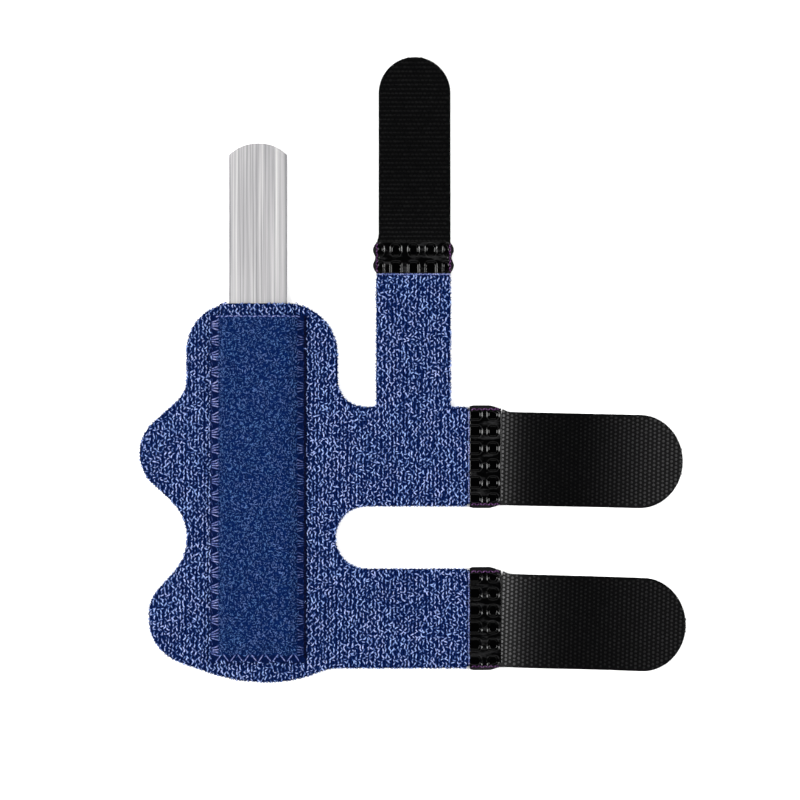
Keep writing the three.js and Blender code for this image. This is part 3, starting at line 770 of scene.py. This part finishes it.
def pile_tree():
    """Short bent fibres all over the upper side of the velour, lying every way."""
    tree, size = new_tree("velour_pile", ("Low", "High"), PILE)
    start = xyz(tree, z=times(tree, size["Radius"], -0.8))
    bend = times(tree, size["Length"], 0.45)
    middle = xyz(tree, bend, times(tree, bend, 0.25), times(tree, size["Rise"], 2.0))
    fibre = strand(tree, start, middle, xyz(tree, x=size["Length"]), size["Radius"], 2, 3)
    up = axis_of(tree, made(tree, "GeometryNodeInputNormal"), "Z")
    piled = inside(tree, size["Low"], size["High"], "XY")
    chosen = math_of(tree, "GREATER_THAN", times(tree, up, piled), 0.05)
    spots = scattered(tree, size["Cloth"], chosen, size["Spacing"], PILE_DENSITY, piled, 31)
    turn = turned_to(tree, spots.outputs["Normal"], random_between(tree, 0.0, 2 * math.pi, 32))
    fibres = planted(tree, spots.outputs["Points"], fibre, turn, PILE_SCALES, 33)
    return finish_tree(tree, fibres, size["Material"])


def stitch_tree():
    """A thread that goes from side to side between two ends, laid on the cloth and dipping at its turns,
    with painted shade where it dips.

    With one spoke to a period it is a zigzag. With more, the spokes' outer ends draw together into fans,
    and the thread goes back from each spoke to the next under the cloth, by its return depth.
    """
    sizes = ("Period", "Spokes", "Gather", "Return Depth", "Radius")
    tree, size = new_tree("zigzag_thread", ("Start", "End", "Across"), sizes)
    steps = STITCH_STEPS
    line = made(tree, "GeometryNodeCurvePrimitiveLine", {"Start": size["Start"], "End": size["End"]})
    far = vector_of(tree, "SUBTRACT", size["End"], size["Start"])
    periods = math_of(tree, "ROUND", over(tree, vector_of(tree, "LENGTH", far), size["Period"]))
    count = times_plus(tree, times(tree, periods, size["Spokes"]), steps, 1.0)
    line = made(tree, "GeometryNodeResampleCurve", {"Curve": line, "Count": count}, mode="COUNT")
    index = made(tree, "GeometryNodeInputIndex")
    phase = over(tree, math_of(tree, "FLOORED_MODULO", index, steps), steps / 2)
    outward = math_of(tree, "ABSOLUTE", minus(tree, phase, 1.0))
    swing = times_plus(tree, outward, -2.0, 1.0)
    at_period = over(tree, over(tree, index, steps), size["Spokes"])
    own = math_of(tree, "FLOOR", over(tree, plus(tree, index, 1.5), steps))
    astray = random_between(tree, -1.0, 1.0, 51, ID=own)
    fan = plus(tree, math_of(tree, "FLOOR", plus(tree, at_period, 0.001)), 0.5)
    pull = times(tree, minus(tree, fan, at_period), times(tree, outward, size["Gather"]))
    pull = times_plus(tree, times(tree, astray, minus(tree, 1.0, outward)), 0.05, pull)
    shift = scaled(tree, far, over(tree, pull, periods))
    offset = vector_of(tree, "ADD", scaled(tree, size["Across"], swing), shift)
    line = made(tree, "GeometryNodeSetPosition", {"Geometry": line, "Offset": offset})
    ray = ray_down(tree, size["Cloth"])
    # painted shade: the thread is darker where it dips at its turns and at a fan's outer ends
    dip = math_of(tree, "POWER", math_of(tree, "ABSOLUTE", swing), 3.0)
    fanned = math_of(tree, "GREATER_THAN", size["Spokes"], 1.5)
    hidden = times(tree, fanned, math_of(tree, "POWER", outward, 9.0))
    shown = minus(tree, 1.0, times(tree, hidden, FAN_SHADE))
    lit_off_turns = minus(tree, 1.0, times(tree, dip, dip))
    fan_lift = times_plus(tree, fanned, times(tree, outward, FAN_LIFT), STITCH_LIFT)
    lift = times(tree, size["Radius"], times_plus(tree, dip, -STITCH_DIP, fan_lift))
    going_back = math_of(tree, "GREATER_THAN", phase, 1.1)
    lift = minus(tree, lift, times(tree, going_back, size["Return Depth"]))
    raised = vector_of(tree, "ADD", ray.outputs["Hit Position"], xyz(tree, z=lift))
    laid = {"Geometry": line, "Selection": ray.outputs["Is Hit"], "Position": raised}
    line = stored(tree, made(tree, "GeometryNodeSetPosition", laid), "crest_light", times(tree, lit_off_turns, shown))
    return finish_tree(tree, tube(tree, line, size["Radius"], 6), size["Material"])


def hook_tree():
    """Small domed hooks in staggered rows on a tape that lies along +X, each row straight across it."""
    tree, size = new_tree("tape_hooks", ("Low", "High", "Hook Size"), ("Along", "Across"))
    ball = made(tree, "GeometryNodeMeshUVSphere", {"Segments": 7, "Rings": 5, "Radius": 1.0})
    dome = made(tree, "GeometryNodeTransform", {"Geometry": ball, "Scale": size["Hook Size"]})
    points, _ = staggered_points(tree, size, size["Along"], size["Across"], HOOK_JITTER, 41)
    points, normal = dropped_on(tree, points, size["Cloth"])
    turn = turned_to(tree, normal, random_between(tree, -HOOK_TWIST, HOOK_TWIST, 42))
    return finish_tree(tree, planted(tree, points, dome, turn, HOOK_SCALES, 43), size["Material"])


# Pieces

def dress_wrap(yarn, ground):
    """The wrap: the two-ply knit sheet, and the loops on its front and round its rim."""
    mesh = cad_copy("wrap", "wrap_cloth")
    mesh.shade_smooth()
    cloth = new_piece("wrap_cloth", mesh, ground)
    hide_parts("wrap")
    low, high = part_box("wrap")
    panel_low, panel_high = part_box("pocket_panel")
    stay_low, stay_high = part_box("stay")
    left_inset, right_inset = BARE_INSET
    clear = Vector((STAY_CLEARANCE, 0, STAY_CLEARANCE))
    places = {
        "Low": low,
        "High": high,
        "Bare Low": panel_low + in_plane(left_inset, left_inset),
        "Bare High": in_plane(panel_high.x - right_inset, panel_high.y),
        "Stay Low": Vector((stay_low.x, panel_low.y, stay_low.z)) - clear,
        "Stay High": Vector((stay_high.x, high.y, stay_high.z)) + clear,
        "Material": yarn,
    }
    cut = cut_at_bands(mesh)
    covered = joined(cut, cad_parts["pocket_panel"].data)
    for tree, under, sizes in ((front_loop_tree(), covered, FRONT_LOOPS), (rim_loop_tree(), cut, RIM_LOOPS)):
        field = new_piece(tree.name, grow(tree, under, tree.name, {**places, **sizes}), yarn)
    resting_area(mesh)
    return mesh


def cut_at_bands(mesh):
    """A copy of the wrap's mesh without the tongues that lie in the joint bands."""
    def cut(work):
        for name, axis in (("upper", Vector((1, 0, 0))), ("top", Vector((0, 1, 0)))):
            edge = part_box(f"joint_band_{name}")[0] - axis * BAND_GAP
            everything = [*work.verts, *work.edges, *work.faces]
            bmesh.ops.bisect_plane(work, geom=everything, plane_co=edge, plane_no=axis, clear_outer=True)
    return reworked(mesh.copy(), cut)


def joined(*meshes):
    """A new mesh of several meshes together."""
    work = bmesh.new()
    for mesh in meshes:
        work.from_mesh(mesh)
    both = bpy.data.meshes.new("joined")
    work.to_mesh(both)
    work.free()
    return both


def resting_area(mesh):
    """The area of a flat piece's underside, in square metres."""
    resting = (f for f in mesh.polygons if f.normal.z < -0.9 and f.center.z < RESTING_HEIGHT)
    return sum(face.area for face in resting)


def dress_panel(pile, ground, threads, pile_maker, stitcher):
    """The velour panel with its pile and its seams."""
    panel = new_piece("panel_velour", cad_copy("pocket_panel", "panel_velour"), ground)
    smooth = panel.modifiers.new("smooth", "SUBSURF")
    smooth.levels = smooth.render_levels = 2
    mesh = evaluated_mesh(panel, "panel_velour")
    panel.modifiers.clear()
    panel.data = mesh
    mesh.materials.clear()
    mesh.materials.append(ground)
    mesh.shade_smooth()
    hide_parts("pocket_panel")
    low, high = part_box("pocket_panel")
    sizes = {
        "Low": low + in_plane(PILE_INSET, PILE_INSET),
        "High": high - in_plane(PILE_INSET, PANEL_TOP_GAP),
        "Material": pile,
        **PILE,
    }
    fur = new_piece("panel_pile", grow(pile_maker, mesh.copy(), "panel_pile", sizes), pile)
    for name, ends, swing, kind, colour in panel_seams():
        course = [in_plane(*place) for place in (*ends, swing)]
        sew(stitcher, mesh, threads[colour], f"panel_{name}", *course, **kind)


def panel_seams():
    """Each seam's name, its two ends, its swing to one side, its kind of stitch, and its thread."""
    low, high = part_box("pocket_panel")
    left, right = low.x + STITCH_INSET, high.x - STITCH_INSET
    foot, top = low.y + STITCH_INSET, high.y - PANEL_TOP_GAP
    edge = high.x - SHADOW_LINE["radius"]
    swing = STITCH_WIDTH / 2
    return (
        ("seam_left", ((left, foot), (left, top)), (swing, 0), FANS["left"], "light"),
        ("seam_right", ((right, foot), (right, top)), (-swing, 0), FANS["right"], "shaded"),
        ("seam_foot", ((left, foot), (right, foot)), (0, swing), FOOT_ZIGZAG, "light"),
        # painted shadow: a near-black line along the panel's right edge
        ("shadow_line_right", ((edge, foot), (edge, top)), (SHADOW_LINE_SWING, 0), SHADOW_LINE, "shadow"),
        ("hem", ((left, top), (right, top)), (0, HEM_SWING), HEM_LINE, "light"),
    )


def sew(stitcher, cloth_mesh, thread, name, start, end, across, radius, period=STITCH_PERIOD, **fan):
    """One seam on a cloth: a zigzag, or fans of spokes."""
    sizes = {
        "Start": start,
        "End": end,
        "Across": across,
        "Period": period,
        "Spokes": float(fan.get("spokes", 1)),
        "Gather": fan.get("gather", 0.0),
        "Return Depth": fan.get("return_depth", 0.0),
        "Radius": radius,
        "Material": thread,
    }
    seam = new_piece(name, grow(stitcher, cloth_mesh.copy(), name, sizes), thread)
    return seam


def strap_height(share):
    """A strap's underside above the floor, on a smooth line through its wave."""
    for (a, low), (b, high) in zip(STRAP_WAVE, STRAP_WAVE[1:]):
        if share <= b:
            eased = (share - a) / (b - a)
            eased = eased * eased * (3 - 2 * eased) * 0.5 + eased * 0.5
            return STRAP_LIFT * (low + (high - low) * eased)
    return STRAP_LIFT * STRAP_WAVE[-1][1]


def strap_ring(x, half, height, tape, aside=0.0):
    """Points round a tape's section: its upper side with rounded edges, and its flat underside."""
    edge = min(TAPE_EDGE, half * TAPE_EDGE_MOST)
    turns = (0, math.pi / 6, math.pi / 3, math.pi / 2)
    across = [-half + edge * (1 - math.cos(a)) for a in turns]
    drop = [edge * (1 - math.sin(a)) for a in turns]
    inner = list(np.linspace(across[-1], -across[-1], 8)[1:-1])
    ys = [*across, *inner, *[-y for y in reversed(across)]]
    drops = [*drop, *[0] * len(inner), *reversed(drop)]
    under = [Vector((x, y + aside, height + d * TAPE_UNDER_EDGE)) for y, d in zip(ys, drops)]
    top = [Vector((x, y + aside, height + tape - d)) for y, d in zip(ys, drops)]
    return [*under, *reversed(top)]


def strap_sections(strap, band_end, tape):
    """A tape's sections along +X from its band's outer face: its root, its waves and its round tip.

    Just past the band the tape's sides ease in from the half width of the band's end.
    """
    reach, tip, width = strap["reach"], strap["tip"], strap["width"]
    root = width / 2 - STRAP_TUCK
    level = strap_height(0)
    rings = [strap_ring(-STRAP_ROOT, root, level, tape), strap_ring(0, root, level, tape)]
    straight = np.arange(2 * TAPE_FIRST_STEPS[-1], reach - tip, TAPE_STEP)
    turned = reach - tip + tip * np.sin(np.linspace(0, math.pi / 2 * TAPE_TIP_END, TAPE_TIP_STEPS))
    for x in (*TAPE_FIRST_STEPS, *straight, *turned):
        past = max(0.0, (x - reach + tip) / tip)
        flare = 1 - smoothstep(*STRAP_FLARE, x)
        left, right = (max(0.0, band_end - width / 2 - s * strap["shift"]) * flare for s in (1, -1))
        half = width / 2 * math.sqrt(1 - past**2) + (left + right) / 2
        rings.append(strap_ring(x, half, strap_height(x / reach), tape, (left - right) / 2))
    return rings


def is_turned(name):
    """Whether a strap and its band lie along +Y and not +X."""
    return STRAPS[name]["angle"] == 90.0


def put_strap(points, name):
    """Points from a strap's own place, along +X, to its place on the splint."""
    strap = STRAPS[name]
    low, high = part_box(f"joint_band_{name}")
    middle = (low + high) / 2
    angle, lean = math.radians(strap["angle"]), math.radians(strap["lean"])
    left = in_plane(-math.sin(angle), math.cos(angle))
    outer = in_plane(middle.x, high.y) if is_turned(name) else in_plane(high.x, middle.y)
    start = outer + left * strap["shift"]
    cos, sin = math.cos(angle + lean), math.sin(angle + lean)
    return [Vector((start.x + p.x * cos - p.y * sin, start.y + p.x * sin + p.y * cos, p.z)) for p in points]


def dress_strap(name, tape, hook, hook_maker):
    """One strap: its woven ground and its rows of hooks."""
    low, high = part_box(f"joint_band_{name}")
    turned = is_turned(name)
    band_half = (high.x - low.x if turned else high.y - low.y) / 2
    width, reach = STRAPS[name]["width"], STRAPS[name]["reach"]
    rings = strap_sections(STRAPS[name], band_half_width(1.0, band_half, turned), TAPE_GROUND)
    points = [p for ring in rings for p in ring]
    faces = joined_strips(rings)
    flat = mesh_of_faces(f"strap_{name}_flat", points, faces)
    half = width / 2 - HOOK_MARGIN
    sizes = {
        "Low": in_plane(HOOK_START, -half),
        "High": in_plane(reach, half + HOOK_ACROSS / 2),
        "Along": HOOK_ALONG,
        "Across": HOOK_ACROSS,
        "Hook Size": RIB_SIZE if name == "top" else HOOK_SIZE,
        "Material": hook,
    }
    hooks = grow(hook_maker, trimmed_top(flat, HOOK_MARGIN), f"strap_{name}_hooks", sizes)
    # painted light: the tape and hooks are greyer at the root and towards the tip
    painted_light = {"painted_light": strap_painted_light(points, name)}
    ground = mesh_of_faces(f"strap_{name}_tape", put_strap(points, name), faces, painted_light)
    strap = new_piece(f"strap_{name}_tape", ground, tape)
    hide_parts(f"strap_{name}")
    places = [v.co.copy() for v in hooks.vertices]
    set_values(hooks, "painted_light", strap_painted_light(places, name))
    for vertex, place in zip(hooks.vertices, put_strap(places, name)):
        vertex.co = place
    rows = new_piece(f"strap_{name}_hooks", hooks, hook)


def strap_painted_light(points, name):
    """How much painted light the strap has at each point: most at its root, and again a little towards its
    tip.
    """
    root, lasts, tip = STRAP_PAINTED_LIGHT[name]
    reach = STRAPS[name]["reach"]
    fading = [math.exp(-((max(0.0, p.x) / lasts) ** PAINTED_LIGHT_FADE)) for p in points]
    return [root * f + tip * smoothstep(PAINTED_LIGHT_TIP_FROM, 1.0, p.x / reach) for f, p in zip(fading, points)]


def trimmed_top(mesh, margin):
    """A mesh's upper faces, drawn in from its two sides by a margin."""
    def trim(work):
        bmesh.ops.delete(work, geom=[f for f in work.faces if f.normal.z < 0.5], context="FACES")
        for vertex in work.verts:
            inward = max(0.0, abs(vertex.co.y) - margin)
            vertex.co.y = math.copysign(inward, vertex.co.y)
    return reworked(mesh.copy(), trim)


def band_half_width(share, half, turned):
    """A band's half width along it: two bulges on the top band, and a taper on a finger band."""
    if turned:
        dip = 0.5 + 0.5 * math.cos(4 * math.pi * share)
        corner = 1 - smoothstep(*BAND_ENDS["corner"], min(share, 1 - share))
        return half - BAND_WAIST * dip - BAND_CORNER * corner
    root = 1 - smoothstep(*BAND_ENDS["root"], share)
    return half - BAND_ROOT_TAPER * root - BAND_TIP_TAPER * smoothstep(*BAND_ENDS["tip"], share)


def well_depth(x, y, wells, turned):
    """How deep a place on a band is pressed in.

    A well's sides that face left and right in the row frame have a gentle slope before the wall drops.
    The wells on the knit side are open towards it.
    """
    rows, well_half = wells["rows"], wells["half"]
    depth = 0.0
    for column in WELL_COLUMNS:
        arch = column == WELL_COLUMNS[0]
        for row in range(rows):
            dx = (x - column) / well_half[0]
            dy = (y - (row - (rows - 1) / 2) * wells["pitch"]) / well_half[1]
            if arch and dx < 0:
                dx *= WELL_OPENING
            q = (abs(dx) ** WELL_SQUARENESS + abs(dy) ** WELL_SQUARENESS) ** (1 / WELL_SQUARENESS)
            inward = max(0.0, 1 - q) * min(well_half)
            sideways = smoothstep(*WELL_BEVEL_SIDES, abs(dy if turned else dx) / max(q, 0.001))
            bevel = WELL_BEVEL * (TOP_WELL_BEVEL if arch and turned else sideways)
            slope = min(inward, bevel) * WELL_BEVEL_SLOPE
            wall = max(0.0, inward - bevel) * WELL_WALL_SLOPE
            depth = max(depth, min(WELL_DEPTH, slope + wall))
    return depth


def band_top(x, y, half, height, wells, turned):
    """Height of a band's upper side, and how much of a ridge and of a border the place is."""
    depth = well_depth(x, y, wells, turned) * smoothstep(*WELL_FADE, half - abs(y))
    shoulder, drop = BAND_SHOULDER
    side = smoothstep(0.0, shoulder, half - abs(y))
    length, rise = BAND_WOBBLE
    wobble = noise.noise(Vector((x / length, y / length, 3.0))) * rise
    top = height - BAND_TOP_GAP - (1 - side) * drop - depth + wobble
    return top, side * (1 - min(1.0, depth / RIDGE_DEPTH)), 1 - side


def smoothstep(low, high, value):
    share = min(1.0, max(0.0, (value - low) / (high - low)))
    return share * share * (3 - 2 * share)


def put_band(points, low, high, turned):
    """Points from a band's own place, along +X, to its place on the splint."""
    if turned:
        return [Vector(((low.x + high.x) / 2 - p.y, low.y + p.x, p.z)) for p in points]
    return [Vector((low.x + p.x, (low.y + high.y) / 2 + p.y, p.z)) for p in points]


def band_shape(length, width, height, turned):
    """A band's points and faces along +X, and how much of a ridge and of a border each point is."""
    wells = TOP_WELLS if turned else FINGER_WELLS
    stations = round(length / BAND_STEP)
    across = round(width / BAND_STEP)
    shares = [2 * k / across - 1 for k in range(across + 1)]
    outer, inner, ridges, borders = [], [], [], []
    for i in range(stations + 1):
        x = i / stations * length
        half = band_half_width(i / stations, width / 2, turned)
        tops = [band_top(x, s * half, half, height, wells, turned) for s in reversed(shares)]
        ring = [Vector((x, s * half, BAND_FOOT * (abs(s) == 1))) for s in shares]
        ring += [Vector((x, s * half, top)) for s, (top, _, _) in zip(reversed(shares), tops)]
        outer.append(ring)
        ridges += [0.0] * len(shares) + [ridge for _, ridge, _ in tops]
        borders += [1.0] * len(shares) + [border for _, _, border in tops]
    tunnel = width / 2 - BAND_TUNNEL_SIDE
    floor, roof = BAND_TUNNEL
    for x in (0.0, length):
        ring = [Vector((x, s * tunnel, floor)) for s in shares]
        inner.append([*ring, *(Vector((x, s * tunnel, roof)) for s in reversed(shares))])
    count = len(outer[0])
    points = [p for ring in (*outer, *inner) for p in ring]
    faces = joined_strips(outer, closed_ends=False)
    base, last = len(outer) * count, (len(outer) - 1) * count
    for j in range(count):
        k = (j + 1) % count
        faces.append((base + j, base + count + j, base + count + k, base + k))
        faces.append((j, base + j, base + k, k))
        faces.append((last + j, last + k, base + count + k, base + count + j))
    ridges += [0.0] * (2 * count)
    borders += [1.0] * (2 * count)
    return points, faces, ridges, borders


def dress_band(name, plastic, border, thread, stitcher):
    """One joint band, open inside for the tape, with its pressed wells and the thread along its sides."""
    low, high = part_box(f"joint_band_{name}")
    size = high - low
    turned = is_turned(name)
    length, width = (size.y, size.x) if turned else (size.x, size.y)
    points, faces, ridges, borders = band_shape(length, width, size.z, turned)
    mesh = mesh_of_faces(f"band_{name}", put_band(points, low, high, turned), faces, {"ridge": ridges})
    reworked(mesh, lambda work: bmesh.ops.recalc_face_normals(work, faces=work.faces))
    mesh.shade_smooth()
    band = new_piece(f"band_{name}", mesh, plastic)
    mesh.materials.append(border)
    for face in mesh.polygons:
        dull = sum(borders[i] for i in face.vertices) / len(face.vertices)
        face.material_index = int(dull > BORDER_FROM)
    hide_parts(f"joint_band_{name}")
    near, far = BAND_THREAD_ENDS
    swing = in_plane(-BAND_THREAD_SWING, 0) if turned else in_plane(0, BAND_THREAD_SWING)
    for side, side_name in ((-1, "right"), (1, "left")):
        line = side * (width / 2 - BAND_THREAD_INSET)
        ends = put_band([in_plane(near, line), in_plane(length - far, line)], low, high, turned)
        sew(stitcher, mesh, thread, f"band_{name}_thread_{side_name}", *ends, swing, **BAND_THREAD)


def edge_the_knit(name, wrap_mesh, thread, stitcher):
    """The line of thread on the knit along a band's inner side."""
    low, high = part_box(f"joint_band_{name}")
    outward, along = Vector((1, 0, 0)), Vector((0, 1, 0))
    if is_turned(name):
        outward, along = along, outward
    near = in_plane(low.x, low.y) - outward * KNIT_EDGE_BACK
    length = (high - low).dot(along)
    ends = [near + along * place for place in (KNIT_EDGE_INSET, length - KNIT_EDGE_INSET)]
    sew(stitcher, wrap_mesh, thread, f"knit_edge_{name}", *ends, outward * KNIT_EDGE_SWING, **KNIT_EDGE)


# Studio

def look_straight_down():
    """The camera, above the middle of the photograph's frame."""
    span = PHOTO_PIXELS * PIXEL_SIZE
    centre_x = (PHOTO_PIXELS / 2 - PHOTO_ORIGIN[0]) * PIXEL_SIZE
    centre_y = (PHOTO_ORIGIN[1] - PHOTO_PIXELS / 2) * PIXEL_SIZE
    data = bpy.data.cameras.new("camera")
    data.lens = LENS
    data.sensor_width = SENSOR
    camera = link("camera", data)
    camera.location = (centre_x, centre_y, span * LENS / SENSOR + PIXEL_HEIGHT)
    bpy.context.scene.camera = camera
    return in_plane(centre_x, centre_y)


def softbox(name, place, target, size, power):
    """A soft light that faces a target."""
    data = bpy.data.lights.new(name, "AREA")
    data.shape = "RECTANGLE"
    data.size, data.size_y = size
    data.energy = power
    lamp = link(name, data)
    lamp.location = place
    lamp.rotation_euler = (target - Vector(place)).to_track_quat("-Z", "Y").to_euler()
    lamp.visible_camera = False


def set_studio(middle):
    """A pale floor, softboxes on its four sides with the left one the strongest, and a dim even surround."""
    mesh = bpy.data.meshes.new("floor")
    corners = [(x * FLOOR_REACH, y * FLOOR_REACH, 0) for x, y in ((-1, -1), (1, -1), (1, 1), (-1, 1))]
    mesh.from_pydata(corners, [], [(0, 1, 2, 3)])
    mesh.materials.append(floor_material())
    floor = link("floor", mesh)
    floor.location = (0, 0, -FLOOR_DROP)
    for name, (place, size, power) in SOFTBOXES.items():
        softbox(name, place, middle, size, power)
    world = bpy.data.worlds.new("surround")
    world.use_nodes = True
    tree = world.node_tree
    tree.nodes.clear()
    dim = made(tree, "ShaderNodeBackground", {"Color": (0.95, 0.97, 1.0, 1), "Strength": SURROUND_LIGHT})
    seen = made(tree, "ShaderNodeBackground", {"Color": (1, 1, 1, 1), "Strength": 1.0})
    straight = made(tree, "ShaderNodeLightPath")
    both = made(tree, "ShaderNodeMixShader", {0: straight, 1: dim, 2: seen})
    add(tree, "ShaderNodeOutputWorld", {"Surface": both})
    bpy.context.scene.world = world
    bpy.context.scene.view_settings.view_transform = "Standard"


def main():
    set_studio(look_straight_down())
    yarn = yarn_material("knit_yarn")
    pile = yarn_material("velour_pile", patchy=0.02)
    threads = {
        "light": yarn_material("seam_thread"),
        "shaded": yarn_material("shaded_thread"),
        # the near-black thread paints the shadow along the panel's right edge
        "shadow": yarn_material("shadow_line_thread"),
    }
    edge_thread = yarn_material("band_thread")
    stitcher = stitch_tree()
    hook_maker = hook_tree()
    wrap_mesh = dress_wrap(yarn, knit_ground_material())
    dress_panel(pile, velour_ground_material(), threads, pile_tree(), stitcher)
    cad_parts["stay"].material_slots[0].material = aluminium_material()
    tape, hook, plastic, border = tape_material(), hook_material(), band_material(), border_material()
    for name in STRAPS:
        dress_strap(name, tape, hook, hook_maker)
        dress_band(name, plastic, border, edge_thread, stitcher)
        edge_the_knit(name, wrap_mesh, threads["light"], stitcher)


main()
